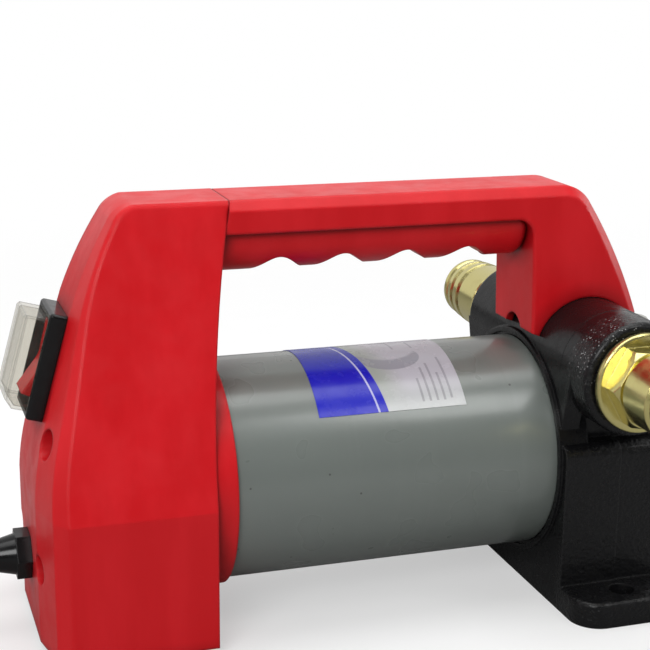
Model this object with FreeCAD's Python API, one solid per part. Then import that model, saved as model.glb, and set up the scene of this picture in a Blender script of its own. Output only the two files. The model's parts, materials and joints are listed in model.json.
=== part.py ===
import FreeCAD, Part
import math
import os

from FreeCAD import Vector as V

# Self-priming 12 V fuel transfer pump: a steel-cased motor lies along X, a cast iron
# vane pump sits at its +X end, a moulded cover with the switch closes its -X end and a
# carrying handle bridges the two. Millimetres. Origin: on the floor, at the centre of
# the foot's bolt line, straight below the port axis. +Z up, +X from motor to pump.

# ---- driving dimensions ------------------------------------------------------------
AXIS_Z = 50.0            # motor and rotor axis above the floor
PORT_Z = 85.4            # axis of the two hose ports above the floor
BODY_HALF_X = 19.8       # pump body reaches this far either side of the port axis
MOTOR_R = 38.0
MOTOR_WALL = 3.0
MOTOR_REAR_X = -148.0
SHAFT_R = 5.0
HANDLE_TOP_Z = 145.0
HANDLE_HALF = 16.0       # half width of the handle's front leg
SEAM_X = -130.0          # where the top of the handle meets the rear cover
SEAM_GAP = 0.3
MOULD_EDGE_R = 1.0       # rounding of the red mouldings' running edges
FINGER_PITCH = 22.62
FACE_TILT = math.radians(15.5)   # switch panel leans back from the vertical
NEAR_END = -53.8         # port boss ends, along Y
FAR_END = 44.0
FIT = 0.1                # sliding clearance between neighbours
NUDGE = 0.05             # small gap that keeps touching pieces apart

os.makedirs("parts", exist_ok=True)


# ---- plain helpers -----------------------------------------------------------------
def box(x0, x1, y0, y1, z0, z1):
    return Part.makeBox(x1 - x0, y1 - y0, z1 - z0, V(x0, y0, z0))


def rod_x(r, x0, x1, y=0.0, z=AXIS_Z):
    return Part.makeCylinder(r, x1 - x0, V(x0, y, z), V(1, 0, 0))


def rod_y(r, y0, y1, x=0.0, z=PORT_Z):
    return Part.makeCylinder(r, y1 - y0, V(x, y0, z), V(0, 1, 0))


def rod_z(r, z0, z1, x=0.0, y=0.0):
    return Part.makeCylinder(r, z1 - z0, V(x, y, z0), V(0, 0, 1))


def tube_x(r_in, r_out, x0, x1, y=0.0, z=AXIS_Z):
    return rod_x(r_out, x0, x1, y, z).cut(rod_x(r_in, x0 - 1, x1 + 1, y, z))


def tube_y(r_in, r_out, y0, y1, x=0.0, z=PORT_Z):
    return rod_y(r_out, y0, y1, x, z).cut(rod_y(r_in, y0 - 1, y1 + 1, x, z))


def cone_x(r0, r1, x0, x1, y=0.0, z=AXIS_Z):
    return Part.makeCone(r0, r1, x1 - x0, V(x0, y, z), V(1, 0, 0))


def hex_x(across_flats, x0, x1, y=0.0, z=AXIS_Z):
    corner_r = across_flats / math.sqrt(3)
    corners = [V(x0, y + corner_r * math.cos(math.radians(60 * i)),
                 z + corner_r * math.sin(math.radians(60 * i))) for i in range(7)]
    return Part.Face(Part.makePolygon(corners)).extrude(V(x1 - x0, 0, 0))


def slab(points, axis, half):
    """Closed outline given in the plane across `axis`, extruded evenly to both sides."""
    if axis == "y":
        ring = [V(a, -half, b) for a, b in points]
        step = V(0, 2 * half, 0)
    else:
        ring = [V(-half, a, b) for a, b in points]
        step = V(2 * half, 0, 0)
    ring.append(ring[0])
    return Part.Face(Part.makePolygon(ring)).extrude(step)


def outline_face(edges):
    return Part.Face(Part.Wire(Part.__sortEdges__(edges)))


def line(a, b):
    return Part.LineSegment(a, b).toShape()


def arc(a, mid, b):
    return Part.Arc(a, mid, b).toShape()


def fuse(*shapes):
    return shapes[0].multiFuse(list(shapes[1:])).removeSplitter()


def cut(shape, *tools):
    return shape.cut(list(tools)).removeSplitter()


def group(shapes):
    return Part.makeCompound(shapes)


def turned(shape, angle, centre=V(0, 0, AXIS_Z), axis=V(1, 0, 0)):
    copy = shape.copy()
    copy.rotate(centre, axis, angle)
    return copy


def round_edges(shape, radius, wanted):
    edges = [e for e in shape.Edges if wanted(e.CenterOfMass, e)]
    return shape.makeFillet(radius, edges)


def bevel_edges(shape, size, wanted):
    edges = [e for e in shape.Edges if wanted(e.CenterOfMass, e)]
    return shape.makeChamfer(size, edges)


def save(name, shape):
    shape.exportStep(os.path.join("parts", name + ".step"))


# ---- pump body ---------------------------------------------------------------------
FACE_X = -BODY_HALF_X            # plane the motor bolts against
CHAMBER_R = 18.5
CHAMBER_Z = 47.6                 # chamber centre, lower than the rotor axis
CHAMBER_BACK_X = -2.0
ROTOR_R = 16.0
PORT_BORE_R = 11.0
THREAD_R = 13.2
THREAD_DEPTH = 13.0
BEARING_R = 13.0
BEARING_W = 8.0
FRONT_BEARING_X = -26.0          # rear face of the front bearing
SEAL_R = 10.0
FOOT_HOLE_Y = 51.0
FOOT_HOLE_R = 4.5
BYPASS_R = 6.0
BYPASS_SEAT_X = 4.0
TIE_ROD_R = 2.5
TIE_ROD_Z = 29.5                 # tie rods above and below the axis
COVER_SCREW_RING = 24.5
COVER_SCREW_COUNT = 6


def port_prism(half_y):
    """Straight-sided block with a half-round top about the port axis."""
    a, z0 = BODY_HALF_X, 0.0
    left_foot, left_top = V(-a, -half_y, z0), V(-a, -half_y, PORT_Z)
    right_top, right_foot = V(a, -half_y, PORT_Z), V(a, -half_y, z0)
    edges = [line(left_foot, left_top),
             arc(left_top, V(0, -half_y, PORT_Z + a), right_top),
             line(right_top, right_foot),
             line(right_foot, left_foot)]
    return outline_face(edges).extrude(V(0, 2 * half_y, 0))


def pump_body():
    neck = port_prism(35.0)
    tube = rod_y(BODY_HALF_X - 0.05, NEAR_END, FAR_END)
    tube = round_edges(tube, 2.2, lambda c, e: abs(c.y) > 40 and len(e.Vertexes) == 1)
    block = box(FACE_X, 1.2, -43.5, 43.5, 0, 60)
    block = round_edges(block, 4.5, lambda c, e: c.z > 59.9 and abs(c.y) > 43)
    front_block = box(1.2, BODY_HALF_X, -43.0, 43.0, 0, 59.4)
    front_block = round_edges(front_block, 4.5, lambda c, e: c.z > 59.3 and abs(c.y) > 42.9)
    web = slab([(-43.3, PORT_Z), (-36.5, 58), (36.5, 58), (43.3, PORT_Z)], "x", 30)
    plate = web.common(box(FACE_X, -13.0, -44, 44, 50, PORT_Z))
    disc = rod_x(41.0, FACE_X, -10.0)
    foot = box(FACE_X, BODY_HALF_X, -61, 61, 0, 9)
    foot = round_edges(foot, 10, lambda c, e: abs(c.y) > 60 and abs(c.z - 4.5) < 0.1)
    foot = round_edges(foot, 1.5, lambda c, e: c.z > 8.9)
    valve_boss = rod_x(9.0, 0, 24.0, 0, PORT_Z)
    lug = box(-8.0, 4.4, -7, 7, 100, 119)
    lug = round_edges(lug, 2.0, lambda c, e: c.z > 118.9)
    register = rod_x(MOTOR_R - MOTOR_WALL - FIT, FRONT_BEARING_X, FACE_X)
    lip = tube_x(39.2, 41.0, FACE_X - 1.2, FACE_X + 1)
    body = fuse(neck, tube, block, front_block, plate, disc, foot, valve_boss, lug,
                register, lip)

    chamber = rod_x(CHAMBER_R, CHAMBER_BACK_X, BODY_HALF_X + 1, 0, CHAMBER_Z)
    ring_groove = tube_x(19.5, 21.5, BODY_HALF_X - 1.5, BODY_HALF_X + 1, 0, CHAMBER_Z)
    bearing_seat = rod_x(BEARING_R, FRONT_BEARING_X - 1, FRONT_BEARING_X + BEARING_W)
    seal_seat = rod_x(SEAL_R, FRONT_BEARING_X, -8.0)
    shaft_hole = rod_x(SHAFT_R + 0.4, -9.0, 0)
    inlet = rod_y(PORT_BORE_R, NEAR_END - 1, -8.0)
    outlet = rod_y(PORT_BORE_R, 8.0, FAR_END + 1)
    inlet_thread = rod_y(THREAD_R, NEAR_END - 1, NEAR_END + THREAD_DEPTH)
    outlet_thread = rod_y(THREAD_R, FAR_END - THREAD_DEPTH, FAR_END + 1)
    windows = [box(4, 14, 10, 17, 52, 82), box(4, 14, -17, -10, 52, 82)]
    valve_bore = rod_x(BYPASS_R, BYPASS_SEAT_X, 25, 0, PORT_Z)
    valve_seat = rod_x(3.5, -5.6, BYPASS_SEAT_X + 1, 0, PORT_Z)
    to_outlet = rod_y(3.0, 0, 10, -1.6)
    to_inlet = rod_y(3.0, -10, 0, 12.0)
    feet_holes = [rod_z(FOOT_HOLE_R, -1, 20, 0, s * FOOT_HOLE_Y) for s in (-1, 1)]
    rod_holes = [rod_x(TIE_ROD_R + 0.05, -27, -11, 0, AXIS_Z + s * TIE_ROD_Z)
                 for s in (-1, 1)]
    screw_holes = [rod_x(2.05, 8.0, 21, *at) for at in cover_screw_places()]
    handle_hole = rod_x(2.55, -9, 5, 0, 112.0)
    return cut(body, chamber, ring_groove, bearing_seat, seal_seat, shaft_hole, inlet,
               outlet, inlet_thread, outlet_thread, valve_bore, valve_seat, to_outlet,
               to_inlet, handle_hole, *windows, *feet_holes, *rod_holes, *screw_holes)


def cover_screw_places():
    """Cover screws sit on a ring about the chamber, with a gap below the valve boss."""
    places = []
    for i in range(COVER_SCREW_COUNT):
        angle = math.radians(60 * i)
        places.append((COVER_SCREW_RING * math.cos(angle),
                       CHAMBER_Z + COVER_SCREW_RING * math.sin(angle)))
    return places


def front_cover():
    x0 = BODY_HALF_X
    disc = bevel_edges(rod_x(28.4, x0, x0 + 8, 0, CHAMBER_Z), 1.2, lambda c, e: c.x > x0 + 7.9)
    hub = bevel_edges(rod_x(13.0, x0 + 7, x0 + 11), 1.0, lambda c, e: c.x > x0 + 10.9)
    ribs = [turned(box(x0 + 7, x0 + 9.5, -1.5, 1.5, AXIS_Z, AXIS_Z + 15), 30 + 60 * i)
            for i in range(6)]
    cover = fuse(disc, hub, *ribs)
    holes = [rod_x(2.2, x0 - 1, x0 + 12, *at) for at in cover_screw_places()]
    return cut(cover, *holes)


def cover_seal():
    return tube_x(19.6, 21.4, BODY_HALF_X - 1.45, BODY_HALF_X - NUDGE, 0, CHAMBER_Z)


def socket_screw(r, head_r, head_h, x_head, x_tip, y, z, socket_af):
    """Cap screw along X whose head starts at x_head and stands towards +X."""
    shank = rod_x(r, x_tip, x_head + 0.1, y, z)
    head = rod_x(head_r, x_head, x_head + head_h, y, z)
    head = bevel_edges(head, 0.4, lambda c, e: c.x > x_head + head_h - 0.01)
    socket = hex_x(socket_af, x_head + head_h * 0.4, x_head + head_h + 1, y, z)
    return cut(fuse(shank, head), socket)


def cover_screws():
    x_head = BODY_HALF_X + 8 + 0.01
    return group([socket_screw(2.0, 3.5, 4.0, x_head, 9.0, y, z, 3.0)
                  for y, z in cover_screw_places()])


# ---- rotor, vanes and bypass valve ---------------------------------------------------
VANE_COUNT = 5
VANE_T = 3.0
ROTOR_FRONT_X = BODY_HALF_X - 0.15
ROTOR_BACK_X = CHAMBER_BACK_X + 0.15


def rotor():
    drum = rod_x(ROTOR_R, ROTOR_BACK_X, ROTOR_FRONT_X)
    slots = [turned(box(-3, 21, -VANE_T / 2 - NUDGE, VANE_T / 2 + NUDGE,
                        AXIS_Z + 8.2, AXIS_Z + 20), 360 / VANE_COUNT * i)
             for i in range(VANE_COUNT)]
    bore = rod_x(SHAFT_R + 0.02, -3, 21)
    keyway = box(-3, 21, -1.52, 1.52, AXIS_Z - 7.0, AXIS_Z)
    return cut(drum, bore, keyway, *slots)


def rotor_key():
    return box(2, 16, -1.5, 1.5, AXIS_Z - 6.9, AXIS_Z - 3.02)


def vanes():
    blade = box(ROTOR_BACK_X, ROTOR_FRONT_X, -VANE_T / 2, VANE_T / 2,
                AXIS_Z + 8.3, AXIS_Z + ROTOR_R - 0.2)
    blade = round_edges(blade, 1.2, lambda c, e: c.z > AXIS_Z + ROTOR_R - 0.3
                        and abs(c.x - 8.9) < 1)
    return group([turned(blade, 360 / VANE_COUNT * i) for i in range(VANE_COUNT)])


def shaft_seal():
    x0 = FRONT_BEARING_X + BEARING_W + 0.6
    ring = tube_x(SHAFT_R + 0.03, SEAL_R - 0.02, x0, -8.1)
    groove = tube_x(SHAFT_R + 1.2, SEAL_R - 1.6, x0 + 3.5, -7)
    return cut(ring, groove)


def helix_spring(coil_r, wire_r, x0, x1, turns, y, z):
    """Round-wire compression spring along X, both wire ends inside x0..x1."""
    length = x1 - x0 - 2 * wire_r
    path = Part.makeHelix(length / turns, length, coil_r)
    profile = Part.Wire(Part.makeCircle(wire_r, V(coil_r, 0, 0), V(0, 1, 0)))
    coil = Part.Wire(path).makePipeShell([profile], True, True)
    coil.rotate(V(0, 0, 0), V(0, 1, 0), 90)
    coil.translate(V(x0 + wire_r, y, z))
    return coil


def bypass_poppet():
    disc = rod_x(BYPASS_R - 0.06, BYPASS_SEAT_X + 0.02, BYPASS_SEAT_X + 4, 0, PORT_Z)
    nose = cone_x(2.0, 3.3, BYPASS_SEAT_X - 3, BYPASS_SEAT_X + 0.05, 0, PORT_Z)
    stem = rod_x(2.0, BYPASS_SEAT_X + 3, BYPASS_SEAT_X + 9, 0, PORT_Z)
    return fuse(disc, nose, stem)


def bypass_spring():
    return helix_spring(3.9, 0.55, BYPASS_SEAT_X + 4.1, 19.9, 6, 0, PORT_Z)


def bypass_cap():
    plug = rod_x(BYPASS_R - 0.05, 20, 25.2, 0, PORT_Z)
    flange = rod_x(8.6, 25.1, 26.6, 0, PORT_Z)
    hexagon = hex_x(14.0, 26.5, 32.0, 0, PORT_Z)
    hexagon = hexagon.common(cone_x(11.0, 7.0, 26.4, 32.2, 0, PORT_Z))
    return fuse(plug, flange, hexagon)


def bypass_seal():
    return tube_x(BYPASS_R + 0.05, 8.2, 24.02, 25.08, 0, PORT_Z)


# ---- hose fittings -------------------------------------------------------------------
FITTING_BORE_R = 9.5
HEX_AF = 25.6
BAND_R = 13.0
BAND_END = 25.4          # plain band for the clip, measured from the flange's back


def barb_profile():
    """Half section of the hose tail: (distance from the flange's back, radius)."""
    points = [(0, 17.2), (3.1, 17.2), (3.1, 12.0), (10.9, 12.0), (11.7, BAND_R)]
    points += [(BAND_END, BAND_R), (26.5, 11.7), (27.4, 11.7)]
    points += [(28.6, 12.9), (32.2, 12.7), (33.4, 11.4), (34.3, 11.4)]
    points += [(35.4, 12.5), (38.2, 12.2), (39.2, 11.2), (40.0, 11.2)]
    points += [(40.8, 11.9), (42.8, 11.9), (44.1, 10.9)]
    return points


def hose_fitting(back_y, side):
    """Flanged, hexagon-bodied hose tail whose flange back face sits at back_y."""
    pts = [V(0, 0, 0)] + [V(0, d, r) for d, r in barb_profile()]
    pts.append(V(0, pts[-1].y, 0))
    pts.append(pts[0])
    tail = Part.Face(Part.makePolygon(pts)).revolve(V(0, 0, 0), V(0, 1, 0), 360)
    tail = round_edges(tail, 0.9, lambda c, e: e.BoundBox.ZMax > 17.1 and len(e.Vertexes) == 1)
    corner_r = HEX_AF / math.sqrt(3)
    corners = [V(corner_r * math.cos(math.radians(60 * i)), 3.0,
                 corner_r * math.sin(math.radians(60 * i))) for i in range(7)]
    hexagon = Part.Face(Part.makePolygon(corners)).extrude(V(0, 7.6, 0))
    trim = Part.makeCone(18.5, 12.9, 8.4, V(0, 3.0, 0), V(0, 1, 0))
    shank = Part.makeCylinder(THREAD_R - 0.1, 12.0, V(0, -12.0, 0), V(0, 1, 0))
    bore = Part.makeCylinder(FITTING_BORE_R, 60, V(0, -13, 0), V(0, 1, 0))
    fitting = cut(fuse(tail, hexagon.common(trim), shank), bore)
    if side < 0:
        fitting.rotate(V(0, 0, 0), V(0, 0, 1), 180)
    fitting.translate(V(0, back_y, PORT_Z))
    return fitting


def port_seal(y0, y1):
    return tube_y(THREAD_R + 0.1, 16.4, y0, y1)


def inlet_strainer():
    """Drilled cup that drops into the suction port behind the fitting."""
    y_rim = NEAR_END + 12.1
    cup = rod_y(9.2, y_rim, y_rim + 20).cut(rod_y(8.5, y_rim - 1, y_rim + 19.3))
    rim = tube_y(8.8, THREAD_R - 0.15, y_rim, y_rim + 0.8)
    holes = []
    for row in range(5):
        for i in range(12):
            hole = Part.makeCylinder(1.1, 12, V(0, y_rim + 3 + 3.4 * row, PORT_Z), V(0, 0, 1))
            hole.rotate(V(0, 0, PORT_Z), V(0, 1, 0), 30 * i + 15 * (row % 2))
            holes.append(hole)
    return cut(fuse(cup, rim), *holes)


# ---- motor ---------------------------------------------------------------------------
CORE_R = 23.0
CORE_X0 = -112.0
CORE_X1 = -50.0
SLOT_COUNT = 12
COMM_R = 11.0
COMM_X0 = -141.0
COMM_X1 = -123.0
BRUSH_X = -132.0
REAR_BEARING_X = -162.0


def motor_tube():
    tube = tube_x(MOTOR_R - MOTOR_WALL, MOTOR_R, MOTOR_REAR_X, FACE_X)
    return bevel_edges(tube, 0.5, lambda c, e: e.BoundBox.ZMax > AXIS_Z + MOTOR_R - 0.1
                       and len(e.Vertexes) == 1)


def magnets():
    ring = tube_x(24.3, MOTOR_R - MOTOR_WALL - NUDGE, CORE_X0 + 2, CORE_X1 - 2)
    reach, rise = 40.0, 56.0
    side = slab([(0, AXIS_Z), (reach, AXIS_Z + rise), (2 * reach, AXIS_Z + rise),
                 (2 * reach, AXIS_Z - rise), (reach, AXIS_Z - rise)], "x", 200)
    return group([ring.common(side), ring.common(turned(side, 180))])


def slot_tools(r_in, r_out, x0, x1, half):
    return [turned(box(x0, x1, -half, half, AXIS_Z + r_in, AXIS_Z + r_out), 360 / SLOT_COUNT * i)
            for i in range(SLOT_COUNT)]


def armature_core():
    stack = rod_x(CORE_R, CORE_X0, CORE_X1)
    bore = rod_x(SHAFT_R, CORE_X0 - 1, CORE_X1 + 1)
    wells = slot_tools(11.0, 20.5, CORE_X0 - 1, CORE_X1 + 1, 2.2)
    mouths = slot_tools(20.0, 24.0, CORE_X0 - 1, CORE_X1 + 1, 0.9)
    return cut(stack, bore, *wells, *mouths)


def end_turns(x0, x1):
    return tube_x(9.0, 20.8, x0, x1)


def armature_windings():
    bars = slot_tools(11.1, 20.4, CORE_X0 - 2, CORE_X1 + 2, 2.1)
    rear = end_turns(CORE_X0 - 9, CORE_X0 - 0.2)
    front = end_turns(CORE_X1 + 0.2, CORE_X1 + 9)
    big = lambda c, e: len(e.Vertexes) == 1 and e.BoundBox.ZMax > AXIS_Z + 20
    return fuse(round_edges(rear, 3.0, big), round_edges(front, 3.0, big), *bars)


def commutator():
    barrel = tube_x(SHAFT_R, COMM_R, COMM_X0, COMM_X1)
    riser = tube_x(SHAFT_R, COMM_R + 1.8, COMM_X1 - 2.5, COMM_X1)
    cuts = slot_tools(COMM_R - 1.2, COMM_R + 3, COMM_X0 - 1, COMM_X1 + 1, 0.35)
    return cut(fuse(barrel, riser), *cuts)


def motor_shaft():
    shaft = rod_x(SHAFT_R, REAR_BEARING_X - 1, ROTOR_FRONT_X - 1)
    shaft = bevel_edges(shaft, 0.6, lambda c, e: len(e.Vertexes) == 1)
    return cut(shaft, box(1.9, 16.1, -1.52, 1.52, AXIS_Z - 6, AXIS_Z - 3))


BALL_R = 2.2
BALL_PITCH_R = 9.1
BALL_COUNT = 7


def race(r_in, r_out, x0):
    """Deep-groove ring with a shallow track for the balls."""
    ring = tube_x(r_in, r_out, x0, x0 + BEARING_W)
    ring = bevel_edges(ring, 0.35, lambda c, e: len(e.Vertexes) == 1)
    track = Part.makeTorus(BALL_PITCH_R, BALL_R + 0.06, V(x0 + BEARING_W / 2, 0, AXIS_Z),
                           V(1, 0, 0))
    return ring.cut(track)


def bearing_balls(x0):
    ball = Part.makeSphere(BALL_R, V(x0 + BEARING_W / 2, 0, AXIS_Z + BALL_PITCH_R))
    return group([turned(ball, 360 / BALL_COUNT * i) for i in range(BALL_COUNT)])


def bearing_cage(x0):
    x = x0 + BEARING_W / 2
    ring = tube_x(8.35, 9.85, x - 3.1, x + 3.1)
    pocket = rod_z(BALL_R + 0.12, AXIS_Z + 7, AXIS_Z + 12, x)
    return cut(ring, *[turned(pocket, 360 / BALL_COUNT * i) for i in range(BALL_COUNT)])


def rear_end_bell():
    flange = rod_x(MOTOR_R - 0.4, MOTOR_REAR_X - 6, MOTOR_REAR_X)
    register = rod_x(MOTOR_R - MOTOR_WALL - FIT, MOTOR_REAR_X - 1, MOTOR_REAR_X + 3.5)
    hub = cone_x(15.5, 20.0, REAR_BEARING_X - 3, MOTOR_REAR_X - 5)
    ribs = [turned(box(REAR_BEARING_X + 1, MOTOR_REAR_X - 5, -1.5, 1.5, AXIS_Z, AXIS_Z + 22),
                   45 + 90 * i) for i in range(4)]
    bell = fuse(flange, register, hub, *ribs)
    seat = rod_x(BEARING_R, REAR_BEARING_X - 0.5, MOTOR_REAR_X + 5)
    dish = rod_x(26.0, MOTOR_REAR_X - 3, MOTOR_REAR_X + 5)
    rods = [rod_x(TIE_ROD_R + 0.1, -170, -140, 0, AXIS_Z + s * TIE_ROD_Z) for s in (-1, 1)]
    screws = [rod_x(1.75, -156, -146, *at) for at in REAR_SCREWS]
    shaft_pocket = rod_x(SHAFT_R + 0.6, REAR_BEARING_X - 1.6, REAR_BEARING_X + 1)
    lead_slot = rod_x(3.2, -160, -140, -LEAD_Y, AXIS_Z)
    bell = cut(bell, seat, dish, shaft_pocket, lead_slot, *rods, *screws)
    hub_lips = [tube_x(TIE_ROD_R + 0.1, 5.5, MOTOR_REAR_X - 3, MOTOR_REAR_X + 3, 0,
                       AXIS_Z + s * TIE_ROD_Z) for s in (-1, 1)]
    return fuse(bell, *[lip.common(rod_x(34.9, -160, -140)) for lip in hub_lips])


def wave_washer():
    return tube_x(9.8, 12.6, REAR_BEARING_X + BEARING_W + 0.05, REAR_BEARING_X + BEARING_W + 0.55)


def tie_rods():
    rods = []
    for s in (-1, 1):
        z = AXIS_Z + s * TIE_ROD_Z
        shank = rod_x(TIE_ROD_R, MOTOR_REAR_X - 6.2, -12.0, 0, z)
        head = hex_x(8.0, MOTOR_REAR_X - 10, MOTOR_REAR_X - 6.02, 0, z)
        slot = box(MOTOR_REAR_X - 11, MOTOR_REAR_X - 9, -5, 5, z - 0.6, z + 0.6)
        rods.append(cut(fuse(shank, head), slot))
    return group(rods)


BRUSH_TOP_R = 21.0
BRUSH_ANGLES = (90, 270)         # one brush towards -Y, the other towards +Y


def brush(angle):
    """Carbon block that rides on the commutator, turned about the axis from the top."""
    block = box(BRUSH_X - 4, BRUSH_X + 4, -3, 3, AXIS_Z + COMM_R + 0.05, AXIS_Z + BRUSH_TOP_R)
    saddle = rod_x(COMM_R + 0.05, BRUSH_X - 5, BRUSH_X + 5)
    notch = box(BRUSH_X - 1, BRUSH_X + 1, -4, 4, AXIS_Z + BRUSH_TOP_R - 1, AXIS_Z + 30)
    return turned(cut(block, saddle, notch), angle)


def brush_spring(angle):
    z0, z1 = AXIS_Z + BRUSH_TOP_R + 0.1, AXIS_Z + 28.4
    coil = helix_spring(2.2, 0.35, 0, z1 - z0, 6, 0, 0)
    coil.rotate(V(0, 0, 0), V(0, 1, 0), -90)
    coil.translate(V(BRUSH_X, 0, z0))
    return turned(coil, angle)


def brush_holder():
    """Moulded ring with the two brush boxes, one each side of the commutator."""
    ring = tube_x(14.0, MOTOR_R - MOTOR_WALL - 0.3, BRUSH_X - 6.5, BRUSH_X - 4.5)
    walls = box(BRUSH_X - 6, BRUSH_X + 5.2, -4.2, 4.2, AXIS_Z + 13.2, AXIS_Z + 29.5)
    room = box(BRUSH_X - 4.06, BRUSH_X + 4.06, -3.06, 3.06, AXIS_Z + 12, AXIS_Z + 28.5)
    holder = fuse(ring, *[turned(walls, angle) for angle in BRUSH_ANGLES])
    rooms = [turned(room, angle) for angle in BRUSH_ANGLES]
    rods = [rod_x(TIE_ROD_R + 0.6, BRUSH_X - 8, BRUSH_X + 8, 0, AXIS_Z + s * TIE_ROD_Z)
            for s in (-1, 1)]
    return cut(holder, *rooms, *rods)


def label():
    sheet = tube_x(MOTOR_R + 0.02, MOTOR_R + 0.2, -104.0, -51.5)
    wedge = []
    start, stop = math.radians(39.5), math.radians(128.0)
    for i in range(9):
        t = start + (stop - start) * i / 8
        wedge.append((-60 * math.cos(t), AXIS_Z + 60 * math.sin(t)))
    return sheet.common(slab([(0, AXIS_Z)] + wedge, "x", 150))


# ---- rear cover and switch -------------------------------------------------------------
COVER_WALL = 2.6
COVER_TOP_HALF = 13.0
COVER_SPREAD = 0.3105            # the sides spread by this much per millimetre down
COVER_CREASE_Z = 50.0            # below this the sides are upright
COVER_FLOOR_Z = 3.0
STRIP_TOP_HALF = 8.0             # flat middle strip of the rear wall, and its spread
STRIP_SPREAD = 0.135
FACET_SLOPE = 0.2                # rear wall falls away beside the flat strip
BEVEL_TOP = 0.5                  # corner bevel at the top, growing downwards
BEVEL_SPREAD = 0.04
SEAM_CURVE = [(-141.5, COVER_CREASE_Z), (-138.3, 95.0), (SEAM_X, HANDLE_TOP_Z)]
REAR_SCREWS = [(-22.0, 71.0), (22.0, 71.0), (-22.0, 29.0), (22.0, 29.0)]
PANEL_TOP = V(-182.7, 0, 109.6)  # upper edge of the switch bezel on the rear wall
PANEL_DOWN = V(-math.sin(FACE_TILT), 0, -math.cos(FACE_TILT))
PANEL_OUT = V(-math.cos(FACE_TILT), 0, math.sin(FACE_TILT))


def cover_half(station, z, inset):
    """Half width of the cover at one station: strip edge, bevel edge or side face."""
    depth = HANDLE_TOP_Z - max(z, COVER_CREASE_Z)
    side = COVER_TOP_HALF + COVER_SPREAD * depth - 1.05 * inset
    if station == 0:
        return STRIP_TOP_HALF + STRIP_SPREAD * depth - 0.6 * inset
    if station == 1:
        return side - 1.2 * (BEVEL_TOP + BEVEL_SPREAD * depth)
    return side


def cover_fall(station, z, inset):
    """How far forward the rear wall stands at one station, from facet and bevel."""
    if station == 0:
        return 1.04 * inset
    depth = HANDLE_TOP_Z - max(z, COVER_CREASE_Z)
    facet = FACET_SLOPE * (cover_half(1, z, inset) - cover_half(0, z, inset))
    bevel = BEVEL_TOP + BEVEL_SPREAD * depth if station == 2 else 0.0
    return 1.04 * inset + facet + bevel


def cover_wires(inset, front_open, side, station):
    """Side views of the cover above and below the crease, at one station."""
    top = HANDLE_TOP_Z - inset - (1.2 if station == 2 else 0.0)
    low = COVER_FLOOR_Z + inset

    def at(x, z, rear=True):
        shift = cover_fall(station, z, inset) if rear else 0.0
        return V(x + shift, side * cover_half(station, z, inset), z)

    shoulder = at(-161.5 + 0.3 * inset, top, False)
    corner_mid, corner = at(-166.4, top - 2.0), at(-169.4, top - 5.7)
    upper_mid, upper = at(-176.4, 126.0), at(-182.2, 111.3)
    lower, lower_mid = at(-193.3, 71.3), at(-195.6, 60.5)
    crease, foot = at(-196.6, COVER_CREASE_Z), at(-196.6, low)
    front_x = -100.0 if front_open else SEAM_X
    crease_x = -100.0 if front_open else SEAM_CURVE[0][0]
    front_top = at(front_x, top, False)
    front_crease = at(crease_x, COVER_CREASE_Z, False)
    front_foot = at(crease_x, low, False)
    if front_open:
        front = line(front_crease, front_top)
    else:
        front = arc(front_crease, at(*SEAM_CURVE[1], False), front_top)
    above = Part.Wire([line(front_top, shoulder), arc(shoulder, corner_mid, corner),
                       arc(corner, upper_mid, upper), line(upper, lower),
                       arc(lower, lower_mid, crease), line(crease, front_crease), front])
    below = Part.Wire([line(crease, foot), line(foot, front_foot),
                       line(front_foot, front_crease), line(front_crease, crease)])
    return above, below


def cover_block(inset, front_open=False):
    """Solid block of the cover's outer form, or of its hollow when inset."""
    stations = [(-1, 2), (-1, 1), (-1, 0), (1, 0), (1, 1), (1, 2)]
    pairs = [cover_wires(inset, front_open, side, station) for side, station in stations]
    above = Part.makeLoft([pair[0] for pair in pairs], True, True)
    below = Part.makeLoft([pair[1] for pair in pairs], True, True)
    return fuse(above, below)


def panel_box(down0, down1, half_y, out0, out1):
    """Box in the switch panel's own frame: down the panel, across it, and outwards."""
    base = Part.makeBox(out1 - out0, 2 * half_y, down1 - down0)
    base.translate(V(-out1, -half_y, -down1))
    base.rotate(V(0, 0, 0), V(0, 1, 0), math.degrees(FACE_TILT))
    base.translate(PANEL_TOP)
    return base


BEZEL_LONG = 35.8
BEZEL_HALF = 12.0
BEZEL_T = 5.6
BODY_MARGIN = 2.6


def cover_edge(c, e):
    """Running edges down the cover's sides and along its top, but not the handle seam."""
    runs = type(e.Curve).__name__ in ("Circle", "Line") and e.Length > 8
    on_side = abs(c.y) > COVER_TOP_HALF and c.x < SEAM_CURVE[0][0] - 0.5
    return (runs and on_side and c.z > COVER_FLOOR_Z + 0.5
            and abs(c.z - COVER_CREASE_Z) > 0.5)


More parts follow.
